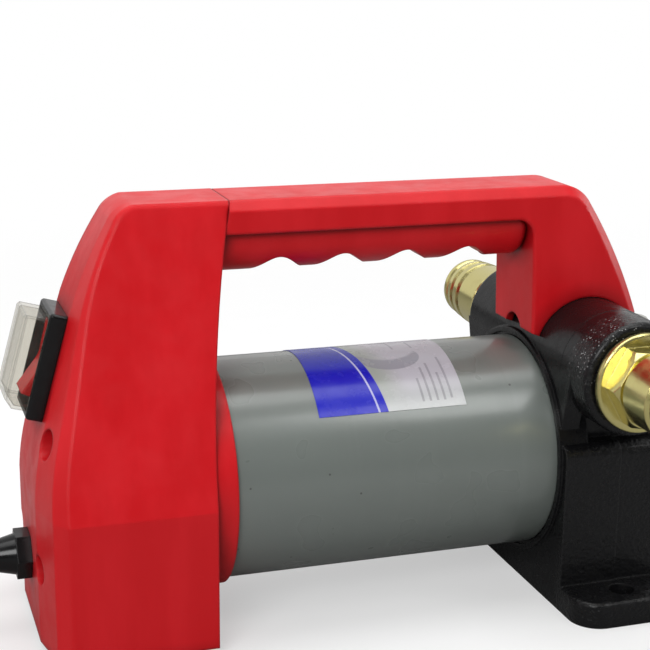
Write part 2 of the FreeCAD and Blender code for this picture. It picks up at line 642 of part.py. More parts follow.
def rear_cover():
    outer = round_edges(cover_block(0.0), MOULD_EDGE_R, cover_edge)
    hollow = cover_block(COVER_WALL, True)
    shell = outer.cut(hollow)
    posts = []
    for y, z in REAR_SCREWS:
        posts.append(rod_x(7.0, -197, -154.05, y, z).common(outer))
    screw_rib = box(-145.0, -142.0, -14, 14, 130, 143).common(outer)
    shell = fuse(shell, screw_rib, *posts)
    motor_room = rod_x(MOTOR_R + 0.35, -154.05, -100)
    collar_room = rod_x(39.85, -141.6, -100)
    switch_hole = panel_box(BODY_MARGIN, BEZEL_LONG - BODY_MARGIN, BEZEL_HALF - 1.4, -20, 4)
    rib_hole = rod_x(1.7, -150, -140, 0, REAR_HANDLE_SCREW_Z)
    gland_hole = rod_x(6.3, -200, -180, 0, GLAND_Z)
    recess = [rod_x(5.0, -200, -166, y, z) for y, z in REAR_SCREWS]
    pilot = [rod_x(1.9, -170, -150, y, z) for y, z in REAR_SCREWS]
    tie_heads = [rod_x(6.5, -160, -150, 0, AXIS_Z + s * TIE_ROD_Z) for s in (-1, 1)]
    foot_stems = [rod_z(2.55, 0, 8, x, y) for x, y in FOOT_PLACES]
    return cut(shell, motor_room, collar_room, switch_hole, rib_hole, gland_hole,
               *recess, *pilot, *tie_heads, *foot_stems)


def cover_collar():
    """Bulkhead that closes the cover round the motor, with a short skirt."""
    plate = cover_block(COVER_WALL + 0.15, True).common(box(-144.2, -141.5, -60, 60, 0, 129.8))
    skirt = rod_x(39.7, -141.55, -134.0)
    collar = fuse(plate, skirt)
    hole = rod_x(MOTOR_R + 0.2, -150, -130)
    return cut(collar, hole, box(-150, -130, -60, 60, 0, COVER_FLOOR_Z + COVER_WALL + 0.2))


FOOT_PLACES = [(-152.0, -31.0), (-152.0, 31.0), (-186.0, -31.0), (-186.0, 31.0)]


def rubber_feet():
    feet = []
    for x, y in FOOT_PLACES:
        pad = rod_z(7.5, 0, COVER_FLOOR_Z - 0.02, x, y)
        pad = round_edges(pad, 0.8, lambda c, e: c.z < 0.1 and len(e.Vertexes) == 1)
        stem = rod_z(2.5, COVER_FLOOR_Z - 0.1, 7.5, x, y)
        feet.append(fuse(pad, stem))
    return group(feet)


def rear_screws():
    screws = []
    for y, z in REAR_SCREWS:
        shank = rod_x(1.7, -166.2, -147.0, y, z)
        head = cone_x(3.4, 3.6, -169.0, -166.02, y, z)
        cross = fuse(box(-170, -167.2, y - 2.2, y + 2.2, z - 0.45, z + 0.45),
                     box(-170, -167.2, y - 0.45, y + 0.45, z - 2.2, z + 2.2))
        screws.append(cut(fuse(shank, head), cross))
    return group(screws)


PIVOT_DOWN = BEZEL_LONG / 2
PIVOT_OUT = 0.2
PIVOT = PANEL_TOP + PANEL_DOWN * PIVOT_DOWN + PANEL_OUT * PIVOT_OUT
ROCKER_REST = 10.0


def switch_housing():
    bezel = panel_box(0, BEZEL_LONG, BEZEL_HALF, 0.03, BEZEL_T)
    outward = lambda c: (c - PANEL_TOP).dot(PANEL_OUT)
    bezel = round_edges(bezel, 1.2, lambda c, e: outward(c) > BEZEL_T - 0.1
                        or abs(outward(c) - BEZEL_T / 2) < 0.2)
    body = panel_box(BODY_MARGIN + 0.3, BEZEL_LONG - BODY_MARGIN - 0.3, BEZEL_HALF - 1.8,
                     -19, 1)
    housing = fuse(bezel, body)
    cap_room = panel_box(2.2, BEZEL_LONG - 2.2, BEZEL_HALF - 2.2, 2.2, 9)
    well = panel_box(4.6, BEZEL_LONG - 4.6, 6.7, -9.0, 4)
    pin_hole = Part.makeCylinder(1.53, 17.4, PIVOT - V(0, 8.7, 0), V(0, 1, 0))
    blades = [panel_box(d - 3.2, d + 3.2, 0.42, -20, -14) for d in TERMINAL_PLACES]
    return cut(housing, cap_room, well, pin_hole, *blades)


TERMINAL_PLACES = (9.5, 17.9, 26.3)


def switch_terminals():
    blades = []
    for d in TERMINAL_PLACES:
        blade = panel_box(d - 3.15, d + 3.15, 0.4, -27, -14.5)
        eye = Part.makeCylinder(0.9, 4, PANEL_TOP + PANEL_DOWN * d + PANEL_OUT * -24.5
                                - V(0, 2, 0), V(0, 1, 0))
        blades.append(cut(blade, eye))
    return group(blades)


def rocker():
    """Two-faced key, shown with its upper end pressed in."""
    half, deep = 12.2, 5.0
    outline = [(-half, -deep), (-half, 5.6), (-1.0, 3.2), (1.0, 3.2), (half, 5.6),
               (half, -deep)]
    ring = [V(-out, -6.4, -down) for down, out in outline]
    ring.append(ring[0])
    key = Part.Face(Part.makePolygon(ring)).extrude(V(0, 12.8, 0))
    key = round_edges(key, 0.7, lambda c, e: abs(abs(c.y) - 6.4) < 0.01 and c.x < 2)
    under = Part.makeBox(8, 10.8, 22.0, V(1.6, -5.4, -11.0))
    axle = Part.makeCylinder(1.5, 17.0, V(0, -8.5, 0), V(0, 1, 0))
    piece = fuse(key.cut(under), axle)
    piece.rotate(V(0, 0, 0), V(0, 1, 0), math.degrees(FACE_TILT) + ROCKER_REST)
    piece.translate(PIVOT)
    return piece


CAP_HEIGHT = 13.4


def cap_block(margin, out0, out1, slope, edge):
    """Cap form: one sloped lower edge, slightly broken edges elsewhere."""
    low = BEZEL_LONG - margin
    block = panel_box(margin, low, BEZEL_HALF - margin, out0, out1)
    along = lambda c: (c - PANEL_TOP).dot(PANEL_DOWN)
    outward = lambda c: (c - PANEL_TOP).dot(PANEL_OUT)
    block = bevel_edges(block, slope, lambda c, e: outward(c) > out1 - 0.01
                        and along(c) > low - 0.01)
    return bevel_edges(block, edge, lambda c, e: outward(c) > out1 - 0.01
                       and along(c) < low - slope - 0.1)


def switch_boot():
    """Clear weather cap, clamped inside the bezel."""
    wall = 0.9
    outer = cap_block(2.35, 2.25, CAP_HEIGHT, 3.0, 0.8)
    inner = cap_block(2.35 + wall, 1.0, CAP_HEIGHT - wall, 2.8, 0.5)
    return outer.cut(inner)


# ---- wiring ----------------------------------------------------------------------------
GLAND_Z = 26.0
LEAD_Y = 22.0                    # the supply lead enters the end bell this far to the side


def pipe(points, r):
    spline = Part.BSplineCurve()
    spline.interpolate(points)
    path = Part.Wire(spline.toShape())
    start = spline.tangent(spline.FirstParameter)[0]
    profile = Part.Wire(Part.makeCircle(r, points[0], start))
    return path.makePipeShell([profile], True, False)


def cable_gland():
    flange = hex_x(15.0, -201.5, -196.62, 0, GLAND_Z)
    stem = rod_x(6.1, -197.5, -184, 0, GLAND_Z)
    dome = cone_x(5.4, 7.0, -208, -201.4, 0, GLAND_Z)
    return cut(fuse(flange, stem, dome), rod_x(3.9, -210, -180, 0, GLAND_Z))


def gland_nut():
    return cut(hex_x(15.0, -193.85, -190.2, 0, GLAND_Z), rod_x(6.15, -196, -188, 0, GLAND_Z))


def power_cable():
    points = [V(-178, 0, GLAND_Z), V(-190, 0, GLAND_Z), V(-202, 0, GLAND_Z),
              V(-212, 0, GLAND_Z - 0.5), V(-223, 0, 20.5), V(-233, 0, 11.5),
              V(-246, 0, 5.2), V(-262, 0, 4.0)]
    return pipe(points, 3.5)


def lead_red():
    d = TERMINAL_PLACES[0]
    end = PANEL_TOP + PANEL_DOWN * d + PANEL_OUT * -28.8
    points = [V(-176.6, 1.4, GLAND_Z + 1), V(-172, 9.5, 36), V(-171, 11.5, 58),
              V(-168.5, 10.5, 78), V(-163.5, 6, 89), end]
    return pipe(points, 1.1)


def lead_black():
    points = [V(-176.6, -1.4, GLAND_Z + 1), V(-172, -9, 31), V(-168.5, -18.5, 42),
              V(-161, -LEAD_Y, AXIS_Z - 0.4), V(-154, -LEAD_Y, AXIS_Z),
              V(-148, -LEAD_Y, AXIS_Z), V(-142, -LEAD_Y, AXIS_Z)]
    return pipe(points, 1.1)


# ---- handle ----------------------------------------------------------------------------
BAR_LOW_Z = 133.9
HANDLE_CREST_HALF = HANDLE_HALF - 4.0
TONGUE_X0 = -141.95              # tongue that reaches into the rear cover
TONGUE_X1 = -118.0
TONGUE_LOW_Z = 135.5
REAR_HANDLE_SCREW_Z = 138.6
SADDLE_R = BODY_HALF_X + 0.15
CORNER_X, CORNER_Z = -27.8, 128.4    # centre of the rounded inner corner of bar and leg
CORNER_R = 5.5
GRIP_END_X = -22.45              # the grip closes up against the back of the leg


def handle_outline(y, drop):
    """Side view of the handle at one width; `drop` brings the top and back inwards."""
    top = HANDLE_TOP_Z - drop
    rear = SEAM_X - 6.0
    p = [V(rear, y, BAR_LOW_Z), V(rear, y, top), V(-11.0, y, top),
         V(-3.7 - drop * 0.35, y, 142.9 - drop * 0.92), V(0.6 - drop * 0.8, y, 138.4 - drop * 0.6),
         V(11.7 - drop * 0.9, y, 119.3 - drop * 0.45), V(21.0 - drop * 0.95, y, 97.5),
         V(0, y, 85.4), V(-21.4, y, 93.4), V(-22.3, y, 128.4), V(-24.0, y, 132.3),
         V(-27.8, y, BAR_LOW_Z)]
    return Part.Wire([line(p[0], p[1]), line(p[1], p[2]), arc(p[2], p[3], p[4]),
                      arc(p[4], p[5], p[6]), line(p[6], p[7]), line(p[7], p[8]),
                      line(p[8], p[9]), arc(p[9], p[10], p[11]), line(p[11], p[0])])


def handle_edge(c, e):
    """Running edges of bar and leg, but not the saddle over the pump or the seam."""
    y = abs(c.y)
    crest = abs(y - HANDLE_CREST_HALF) < 0.01 and c.z > 110
    side = y > 15 and (c.z > BAR_LOW_Z + 0.05 or (c.x > 12 and e.Length > 20))
    leg_back = y > 15.3 and -26 < c.x < -21 and e.Length > 8
    bar_low = abs(c.z - BAR_LOW_Z) < 0.05 and e.Length > 100
    return crest or side or leg_back or bar_low


def handle_form():
    """Outer form of bar and leg: bevelled along the top and back, thinner at the bar."""
    flat, drop = HANDLE_CREST_HALF, 4.0
    middle = Part.Face(handle_outline(-flat, 0)).extrude(V(0, 2 * flat, 0))
    sides = [Part.makeLoft([handle_outline(s * flat, 0), handle_outline(s * HANDLE_HALF, drop)],
                           True, True) for s in (-1, 1)]
    section = [(15.2, HANDLE_TOP_Z + 1), (15.4, BAR_LOW_Z), (HANDLE_HALF, 118), (HANDLE_HALF, 70)]
    section = section + [(-y, z) for y, z in reversed(section)]
    form = fuse(middle, *sides).common(slab(section, "x", 160))
    form = round_edges(form, MOULD_EDGE_R, handle_edge)
    seam = [V(x + SEAM_GAP, -30, z) for x, z in SEAM_CURVE]
    top, low = V(-160, -30, HANDLE_TOP_Z + 1), V(-160, -30, COVER_CREASE_Z)
    lift = seam[2] + V(0, 0, 1)
    behind = outline_face([arc(*seam), line(seam[2], lift), line(lift, top), line(top, low),
                           line(low, seam[0])]).extrude(V(0, 60, 0))
    return form.cut([rod_y(SADDLE_R, -30, 30), behind])


def handle_shell():
    bar_room = box(SEAM_X - 7, -25.6, -12.25, 12.25, 120, 141.6)
    leg = [(-18.6, 80), (-18.6, 131.5), (-9.5, 139.0), (-5.0, 138.5), (6.5, 120.5),
           (16.0, 97), (17.0, 80)]
    boss = box(4.5, 14.0, -13.2, 13.2, 104, 120)
    leg_room = slab(leg, "y", 12.6).cut(boss)
    head_room = rod_x(6.0, 8.5, 40, 0, 112)
    bolt_hole = rod_x(2.7, 0, 10, 0, 112)
    notch = rod_x(6.5, -24, -17, 0, 91.0)
    body = cut(handle_form(), bar_room, leg_room, head_room, bolt_hole, notch)
    tongue = box(TONGUE_X0, TONGUE_X1, -9.0, 9.0, TONGUE_LOW_Z, 141.7)
    screw = rod_x(1.5, -145, -127, 0, REAR_HANDLE_SCREW_Z)
    return cut(fuse(body, tongue), screw)


def finger_grip():
    """Lower half of the handle bar, clipped up into the channel, waved underneath."""
    x0, x1 = SEAM_X - 5.0, -25.7
    r, centre_z = 12.1, 131.7
    core = round_edges(rod_x(r, x0, GRIP_END_X, 0, centre_z), 3.2,
                       lambda c, e: c.x > GRIP_END_X - 0.1)
    under = box(x0, x1, -r, r, 110, centre_z + 0.3)
    corner = rod_y(CORNER_R - FIT, -r, r, CORNER_X, CORNER_Z)
    end = box(x1 - 1, GRIP_END_X, -r, r, 110, CORNER_Z)
    upper = box(x0, x1, -r, r, centre_z, 141.5)
    grip = fuse(core.common(fuse(under, corner, end)), upper)
    low, crest = centre_z - r - 0.2, 124.8
    first = -111.8
    edge_x0, edge_x1 = -125.5, -35.0
    steps = 40
    wave = []
    for i in range(steps + 1):
        x = edge_x0 + (edge_x1 - edge_x0) * i / steps
        phase = 2 * math.pi * (x - first) / FINGER_PITCH
        wave.append(V(x, -20, (crest + low) / 2 + (crest - low) / 2 * math.cos(phase)))
    curve = Part.BSplineCurve()
    curve.interpolate(wave)
    a, b = wave[0], wave[-1]
    below_a, below_b = V(a.x, -20, 110), V(b.x, -20, 110)
    face = outline_face([curve.toShape(), line(b, below_b), line(below_b, below_a),
                         line(below_a, a)])
    grip = grip.cut(face.extrude(V(0, 40, 0)))
    relief = box(x0 - 1, TONGUE_X1 + 0.2, -9.2, 9.2, TONGUE_LOW_Z - 0.2, 142)
    in_cover = box(x0 - 1, SEAM_X + 0.6, -20, 20, TONGUE_LOW_Z - 0.2, 142)
    return cut(grip, relief, in_cover)


def handle_screws():
    front = socket_screw(2.5, 4.4, 5.0, 8.55, -7.5, 0, 112, 4.0)
    z = REAR_HANDLE_SCREW_Z
    shank = rod_x(1.45, -146.0, -128.0, 0, z)
    head = rod_x(2.9, -148.0, -145.05, 0, z)
    rear = fuse(shank, head).cut(box(-149, -147.0, -2.0, 2.0, z - 0.5, z + 0.5))
    return group([front, rear])


# ---- write every piece -------------------------------------------------------------------
PIECES = {
    "pump_body": pump_body,
    "front_cover": front_cover,
    "cover_seal": cover_seal,
    "cover_screws": cover_screws,
    "rotor": rotor,
    "rotor_key": rotor_key,
    "vanes": vanes,
    "shaft_seal": shaft_seal,
    "bypass_poppet": bypass_poppet,
    "bypass_spring": bypass_spring,
    "bypass_cap": bypass_cap,
    "bypass_seal": bypass_seal,
    "inlet_fitting": lambda: hose_fitting(NEAR_END - 0.8, -1),
    "outlet_fitting": lambda: hose_fitting(FAR_END + 0.8, 1),
    "inlet_seal": lambda: port_seal(NEAR_END - 0.78, NEAR_END - 0.02),
    "outlet_seal": lambda: port_seal(FAR_END + 0.02, FAR_END + 0.78),
    "inlet_strainer": inlet_strainer,
    "motor_tube": motor_tube,
    "magnets": magnets,
    "armature_core": armature_core,
    "armature_windings": armature_windings,
    "commutator": commutator,
    "motor_shaft": motor_shaft,
    "front_bearing_outer": lambda: race(10.6, BEARING_R, FRONT_BEARING_X),
    "front_bearing_inner": lambda: race(SHAFT_R, 7.6, FRONT_BEARING_X),
    "front_bearing_balls": lambda: bearing_balls(FRONT_BEARING_X),
    "front_bearing_cage": lambda: bearing_cage(FRONT_BEARING_X),
    "rear_bearing_outer": lambda: race(10.6, BEARING_R, REAR_BEARING_X),
    "rear_bearing_inner": lambda: race(SHAFT_R, 7.6, REAR_BEARING_X),
    "rear_bearing_balls": lambda: bearing_balls(REAR_BEARING_X),
    "rear_bearing_cage": lambda: bearing_cage(REAR_BEARING_X),
    "wave_washer": wave_washer,
    "rear_end_bell": rear_end_bell,
    "tie_rods": tie_rods,
    "brush_holder": brush_holder,
    "brush_near": lambda: brush(BRUSH_ANGLES[0]),
    "brush_far": lambda: brush(BRUSH_ANGLES[1]),
    "brush_spring_near": lambda: brush_spring(BRUSH_ANGLES[0]),
    "brush_spring_far": lambda: brush_spring(BRUSH_ANGLES[1]),
    "label": label,
    "rear_cover": rear_cover,
    "cover_collar": cover_collar,
    "rear_screws": rear_screws,
    "rubber_feet": rubber_feet,
    "switch_housing": switch_housing,
    "switch_terminals": switch_terminals,
    "rocker": rocker,
    "switch_boot": switch_boot,
    "cable_gland": cable_gland,
    "gland_nut": gland_nut,
    "power_cable": power_cable,
    "lead_red": lead_red,
    "lead_black": lead_black,
    "handle_shell": handle_shell,
    "finger_grip": finger_grip,
    "handle_screws": handle_screws,
}

for name, make in PIECES.items():
    save(name, make())
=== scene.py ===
import json
import math

import bpy
from mathutils import Matrix, Vector


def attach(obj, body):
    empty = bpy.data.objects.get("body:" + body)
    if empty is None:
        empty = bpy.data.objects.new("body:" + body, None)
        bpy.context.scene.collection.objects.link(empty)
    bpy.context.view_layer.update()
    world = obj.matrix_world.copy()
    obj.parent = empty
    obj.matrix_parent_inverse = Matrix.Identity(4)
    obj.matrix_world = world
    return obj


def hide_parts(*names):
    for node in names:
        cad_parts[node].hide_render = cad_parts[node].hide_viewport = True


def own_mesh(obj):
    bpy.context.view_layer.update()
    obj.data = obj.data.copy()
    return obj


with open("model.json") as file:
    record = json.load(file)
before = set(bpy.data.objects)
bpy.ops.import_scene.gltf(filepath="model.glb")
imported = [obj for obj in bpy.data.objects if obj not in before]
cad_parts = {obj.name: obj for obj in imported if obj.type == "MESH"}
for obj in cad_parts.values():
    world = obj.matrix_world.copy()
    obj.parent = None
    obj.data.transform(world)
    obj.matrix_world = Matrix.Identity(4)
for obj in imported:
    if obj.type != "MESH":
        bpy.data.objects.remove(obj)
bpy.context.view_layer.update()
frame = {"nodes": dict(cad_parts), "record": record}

nodes = frame["nodes"]
record = frame["record"]
MM = 0.001


# ---- node helpers --------------------------------------------------------------------
def put(tree, socket, value):
    """Links a socket to another one, or sets its value."""
    if isinstance(value, bpy.types.NodeSocket):
        tree.links.new(value, socket)
    elif isinstance(value, (tuple, list)) and len(value) == 3 and socket.type == "RGBA":
        socket.default_value = (*value, 1.0)
    else:
        socket.default_value = value


def new_node(tree, kind, inputs=None, **settings):
    made = tree.nodes.new("ShaderNode" + kind)
    for key, value in settings.items():
        setattr(made, key, value)
    for key, value in (inputs or {}).items():
        put(tree, made.inputs[key], value)
    return made


class Look:
    """A procedural material under construction, with short calls for its nodes."""

    def __init__(self, name):
        self.mat = bpy.data.materials.new(name)
        self.mat.use_nodes = True
        self.tree = self.mat.node_tree
        self.tree.nodes.clear()
        self.out = self.tree.nodes.new("ShaderNodeOutputMaterial")
        self.coords = self.tree.nodes.new("ShaderNodeTexCoord").outputs["Object"]
        self.geometry = self.tree.nodes.new("ShaderNodeNewGeometry")

    def node(self, kind, inputs=None, **settings):
        return new_node(self.tree, kind, inputs, **settings)

    def calc(self, operation, a, b=0.0, clamp=False):
        return self.node("Math", {0: a, 1: b}, operation=operation, use_clamp=clamp).outputs[0]

    def times(self, *values):
        """Product of masks and numbers."""
        product = values[0]
        for value in values[1:]:
            product = self.calc("MULTIPLY", product, value)
        return product

    def plus(self, *values):
        total = values[0]
        for value in values[1:]:
            total = self.calc("ADD", total, value)
        return total

    def minus(self, a, b):
        return self.calc("SUBTRACT", a, b)

    def span(self, value, lo, hi, to_lo=0.0, to_hi=1.0, smooth=True):
        """Ramp from `to_lo` to `to_hi` as the value goes from `lo` to `hi`."""
        kind = "SMOOTHSTEP" if smooth else "LINEAR"
        inputs = {"Value": value, "From Min": lo, "From Max": hi, "To Min": to_lo, "To Max": to_hi}
        return self.node("MapRange", inputs, interpolation_type=kind).outputs[0]

    def blend(self, factor, a, b):
        made = self.node("Mix", data_type="RGBA")
        put(self.tree, made.inputs[0], factor)
        put(self.tree, made.inputs[6], a)
        put(self.tree, made.inputs[7], b)
        return made.outputs[2]

    def stretched(self, scale, turn=(0, 0, 0)):
        inputs = {"Vector": self.coords, "Scale": scale, "Rotation": turn}
        return self.node("Mapping", inputs).outputs[0]

    def noise(self, size, detail=3.0, rough=0.5, vector=None, warp=0.0):
        """Noise whose lumps are about `size` metres across."""
        inputs = {"Vector": vector or self.coords, "Scale": 1.0 / size, "Detail": detail,
                  "Roughness": rough, "Distortion": warp}
        return self.node("TexNoise", inputs).outputs[0]

    def cells(self, size, vector=None):
        """Distance to the nearest of points scattered about `size` metres apart."""
        inputs = {"Vector": vector or self.coords, "Scale": 1.0 / size}
        return self.node("TexVoronoi", inputs).outputs[0]

    def bump(self, height, depth, normal=None, strength=1.0):
        inputs = {"Height": height, "Distance": depth, "Strength": strength}
        if normal is not None:
            inputs["Normal"] = normal
        return self.node("Bump", inputs).outputs[0]

    def soft_edges(self, radius):
        return self.node("Bevel", {"Radius": radius}, samples=4).outputs[0]

    def edge_mask(self, softened, lo=0.02, hi=0.25):
        """1 on edges, found where the softened normal leaves the true one."""
        dot = self.node("VectorMath", {0: softened, 1: self.geometry.outputs["Normal"]},
                        operation="DOT_PRODUCT").outputs["Value"]
        return self.span(self.minus(1.0, dot), lo, hi)

    def open_sky(self, reach, power=1.0):
        """1 on open surfaces, towards 0 in wells, seams and corners."""
        made = self.node("AmbientOcclusion", {"Distance": reach}, samples=6)
        return self.calc("POWER", made.outputs["AO"], power)

    def xyz(self):
        split = self.node("SeparateXYZ", {0: self.coords})
        return split.outputs[0], split.outputs[1], split.outputs[2]

    def principled(self, **inputs):
        renamed = {key.replace("_", " "): value for key, value in inputs.items()}
        return self.node("BsdfPrincipled", renamed).outputs[0]

    def done(self, shader):
        self.tree.links.new(shader, self.out.inputs["Surface"])
        return self.mat


# ---- materials -----------------------------------------------------------------------
def red_plastic():
    m = Look("red_plastic")
    soft = m.soft_edges(1.3 * MM)
    edge = m.edge_mask(soft)
    flow = m.noise(0.03, 4, 0.55, m.stretched((2.2, 2.2, 0.45)))
    blotch = m.noise(0.012, 3, 0.6)
    base = m.blend(m.span(flow, 0.35, 0.7), (0.6, 0.0065, 0.011), (0.66, 0.011, 0.017))
    base = m.blend(m.times(m.span(blotch, 0.55, 0.8), 0.25), base, (0.55, 0.005, 0.009))
    # paler pink edges: partly wear, partly a painted highlight along the edges
    base = m.blend(m.times(edge, 0.15), base, (0.78, 0.06, 0.075))
    # painted shade: the red goes dark in wells, seams and corners where shade falls
    base = m.blend(m.open_sky(7 * MM, 1.3), (0.12, 0.001, 0.002), base)
    scratch = m.cells(0.006, m.stretched((1, 1, 0.04), (0.3, 0.5, 0.2)))
    scuff = m.times(m.span(scratch, 0.035, 0.0), m.span(m.noise(0.02, 2, 0.5), 0.56, 0.66))
    base = m.blend(m.times(scuff, 0.35), base, (0.72, 0.1, 0.1))
    normal = m.bump(m.noise(0.00045, 3, 0.6), 0.018 * MM, soft)
    normal = m.bump(m.noise(0.014, 2, 0.4), 0.11 * MM, normal)
    rough = m.span(m.noise(0.009, 4, 0.6), 0.3, 0.75, 0.3, 0.42)
    rough = m.plus(rough, m.times(scuff, 0.2))
    return m.done(m.principled(Base_Color=base, Roughness=rough, Normal=normal,
                               Specular_IOR_Level=0.27))


def grey_paint():
    """Sprayed motor shell: faint bands across, dark specks and brownish scratches."""
    m = Look("grey_paint")
    soft = m.soft_edges(0.5 * MM)
    broad = m.noise(0.035, 4, 0.6)
    base = m.blend(m.span(broad, 0.3, 0.7), (0.172, 0.193, 0.18), (0.18, 0.202, 0.187))
    band = m.noise(0.0035, 2, 0.5, m.stretched((1, 0.02, 0.02)))
    base = m.blend(m.times(m.span(band, 0.55, 0.8), 0.07), base, (0.3, 0.33, 0.31))
    speck = m.span(m.cells(0.0075, m.stretched((1, 1, 1), (0.4, 0.2, 0.9))), 0.075, 0.045)
    sparse = m.span(m.noise(0.011, 1, 0.5), 0.47, 0.53)
    base = m.blend(m.times(speck, sparse, 0.75), base, (0.035, 0.035, 0.032))
    long_cell = m.cells(0.009, m.stretched((1, 0.12, 0.12), (0.15, 0, 0.1)))
    patches = m.noise(0.02, 1, 0.5, m.stretched((1, 1, 1), (0, 0, 1)))
    scratch = m.times(m.span(long_cell, 0.022, 0.006), m.span(patches, 0.45, 0.52))
    base = m.blend(m.times(scratch, 0.6), base, (0.08, 0.066, 0.056))
    normal = m.bump(m.noise(0.0022, 2, 0.4), 0.012 * MM, soft)
    normal = m.bump(m.noise(0.02, 2, 0.4), 0.05 * MM, normal)
    rough = m.span(m.noise(0.02, 2, 0.5), 0.3, 0.7, 0.27, 0.31)
    return m.done(m.principled(Base_Color=base, Roughness=rough, Normal=normal, Metallic=0.1,
                               Coat_Weight=0.4, Coat_Roughness=0.16))


def black_iron():
    """Painted casting: smooth for the most part, with two zones of raw cast skin."""
    m = Look("black_iron")
    x, y, z = m.xyz()
    soft = m.soft_edges(1.0 * MM)
    near_end = m.span(y, -0.0385, -0.0425)       # near end of the port boss
    flank = m.times(m.span(z, 0.1, 0.094), m.span(x, -0.003, 0.003), m.span(y, 0.03, 0.02))
    patchy = m.span(m.noise(0.01, 3, 0.6), 0.3, 0.5, 0.55, 1.0)
    rough_zone = m.times(m.calc("MAXIMUM", near_end, flank), patchy)
    lumps = m.noise(0.0019, 5, 0.62, warp=0.4)
    pits = m.cells(0.0015)
    sand = m.noise(0.0008, 3, 0.6)
    relief = m.plus(lumps, m.times(pits, 0.5), m.times(sand, 0.35))
    normal = m.bump(relief, 0.5 * MM, soft, m.plus(m.times(rough_zone, 0.9), 0.05))
    normal = m.bump(m.noise(0.012, 2, 0.5), 0.22 * MM, normal)
    dust = m.span(m.noise(0.004, 4, 0.65), 0.58, 0.8)
    base = m.blend(m.times(dust, 0.3), (0.005, 0.005, 0.0055), (0.022, 0.021, 0.02))
    # painted highlight: paler grey along the edges, standing for the backdrop's reflection on
    # rounded edges
    base = m.blend(m.times(m.edge_mask(soft, 0.06, 0.4), 0.3), base, (0.06, 0.06, 0.06))
    # painted highlight: pale specks of glint on the upper left side of the near port boss end
    glint = m.times(m.span(m.cells(0.0011), 0.3, 0.12),
                    m.span(m.noise(0.0035, 2, 0.5), 0.41, 0.54))
    painted_glint_zone = m.times(near_end, m.span(x, 0.001, -0.005), m.span(z, 0.084, 0.09))
    base = m.blend(m.times(glint, painted_glint_zone, 0.8), base, (0.4, 0.4, 0.4))
    rough = m.span(m.noise(0.005, 4, 0.6), 0.3, 0.75, 0.2, 0.36)
    coat = m.span(near_end, 0, 1, 0.08, 0.22)
    return m.done(m.principled(Base_Color=base, Roughness=rough, Normal=normal,
                               Specular_IOR_Level=0.2, Coat_Weight=coat, Coat_Roughness=0.12))


def brass():
    m = Look("brass")
    soft = m.soft_edges(0.6 * MM)
    tarnish = m.span(m.noise(0.006, 4, 0.65), 0.5, 0.8)
    base = m.blend(m.times(tarnish, 0.35), (0.73, 0.65, 0.27), (0.56, 0.46, 0.17))
    spot = m.times(m.span(m.cells(0.0035), 0.07, 0.04), m.span(m.noise(0.006, 1, 0.5), 0.55, 0.62))
    base = m.blend(m.times(spot, 0.5), base, (0.22, 0.12, 0.04))
    turning = m.noise(0.00035, 2, 0.5, m.stretched((0.03, 1, 0.03)))
    normal = m.bump(turning, 0.006 * MM, soft)
    normal = m.bump(m.noise(0.004, 3, 0.5), 0.03 * MM, normal)
    rough = m.span(m.noise(0.003, 3, 0.6), 0.3, 0.75, 0.17, 0.27)
    return m.done(m.principled(Base_Color=base, Metallic=1.0, Roughness=rough, Normal=normal))


def metal(name, color, rough_lo, rough_hi, grain=(1, 1, 1), dirt=0.25, grain_mm=0.35):
    """Bare metal; `grain` below 1 along an axis draws its lines out that way."""
    m = Look(name)
    soft = m.soft_edges(0.25 * MM)
    lines = m.noise(grain_mm * MM, 3, 0.6, m.stretched(grain))
    cloud = m.span(m.noise(0.005, 4, 0.6), 0.35, 0.75)
    dark = tuple(c * 0.45 for c in color)
    base = m.blend(m.times(cloud, dirt), color, dark)
    normal = m.bump(lines, 0.01 * MM, soft)
    rough = m.plus(m.span(lines, 0.3, 0.7, rough_lo, rough_hi), m.times(cloud, 0.08))
    return m.done(m.principled(Base_Color=base, Metallic=1.0, Roughness=rough, Normal=normal))


def moulded(name, color, rough, grain_mm=0.5, grain_depth=0.02, lift=1.9):
    """Plastic, rubber or pressed powder; `lift` says how much paler its edges are, partly wear and
    partly a painted highlight.
    """
    m = Look(name)
    soft = m.soft_edges(0.4 * MM)
    cloud = m.span(m.noise(0.008, 4, 0.6), 0.35, 0.75)
    dark = tuple(c * 0.75 for c in color)
    edge_wear_and_highlight = tuple(min(1.0, c * lift + 0.012) for c in color)
    base = m.blend(cloud, color, dark)
    # paler edges: partly wear, partly a painted highlight along the edges
    base = m.blend(m.times(m.edge_mask(soft), 0.4), base, edge_wear_and_highlight)
    normal = m.bump(m.noise(grain_mm * MM, 3, 0.6), grain_depth * MM, soft)
    spread = m.span(m.noise(0.004, 3, 0.6), 0.3, 0.75, rough - 0.05, rough + 0.07)
    return m.done(m.principled(Base_Color=base, Roughness=spread, Normal=normal,
                               Specular_IOR_Level=0.3))


def clear_cap():
    """Thin clear plastic: a window with a glossy skin that thickens towards its edges."""
    m = Look("clear_cap")
    soft = m.soft_edges(0.8 * MM)
    normal = m.bump(m.noise(0.009, 2, 0.5), 0.04 * MM, soft)
    edge = m.edge_mask(soft, 0.01, 0.12)
    facing = m.node("LayerWeight", {"Blend": 0.3, "Normal": normal}).outputs["Facing"]
    haze = m.span(m.noise(0.007, 3, 0.5), 0.45, 0.8, 0.0, 0.02)
    amount = m.plus(m.span(facing, 0.2, 1.0, 0.03, 0.3, smooth=False), haze)
    amount = m.calc("ADD", amount, m.times(edge, 0.6), clamp=True)
    tint = m.blend(edge, (0.42, 0.42, 0.39), (0.1, 0.1, 0.09))
    skin = m.principled(Base_Color=tint, Roughness=0.08, Normal=normal, Coat_Weight=1.0,
                        Coat_Roughness=0.03)
    window = m.node("BsdfTransparent", {"Color": (0.9, 0.89, 0.86)}).outputs[0]
    return m.done(m.node("MixShader", {0: amount, 1: window, 2: skin}).outputs[0])


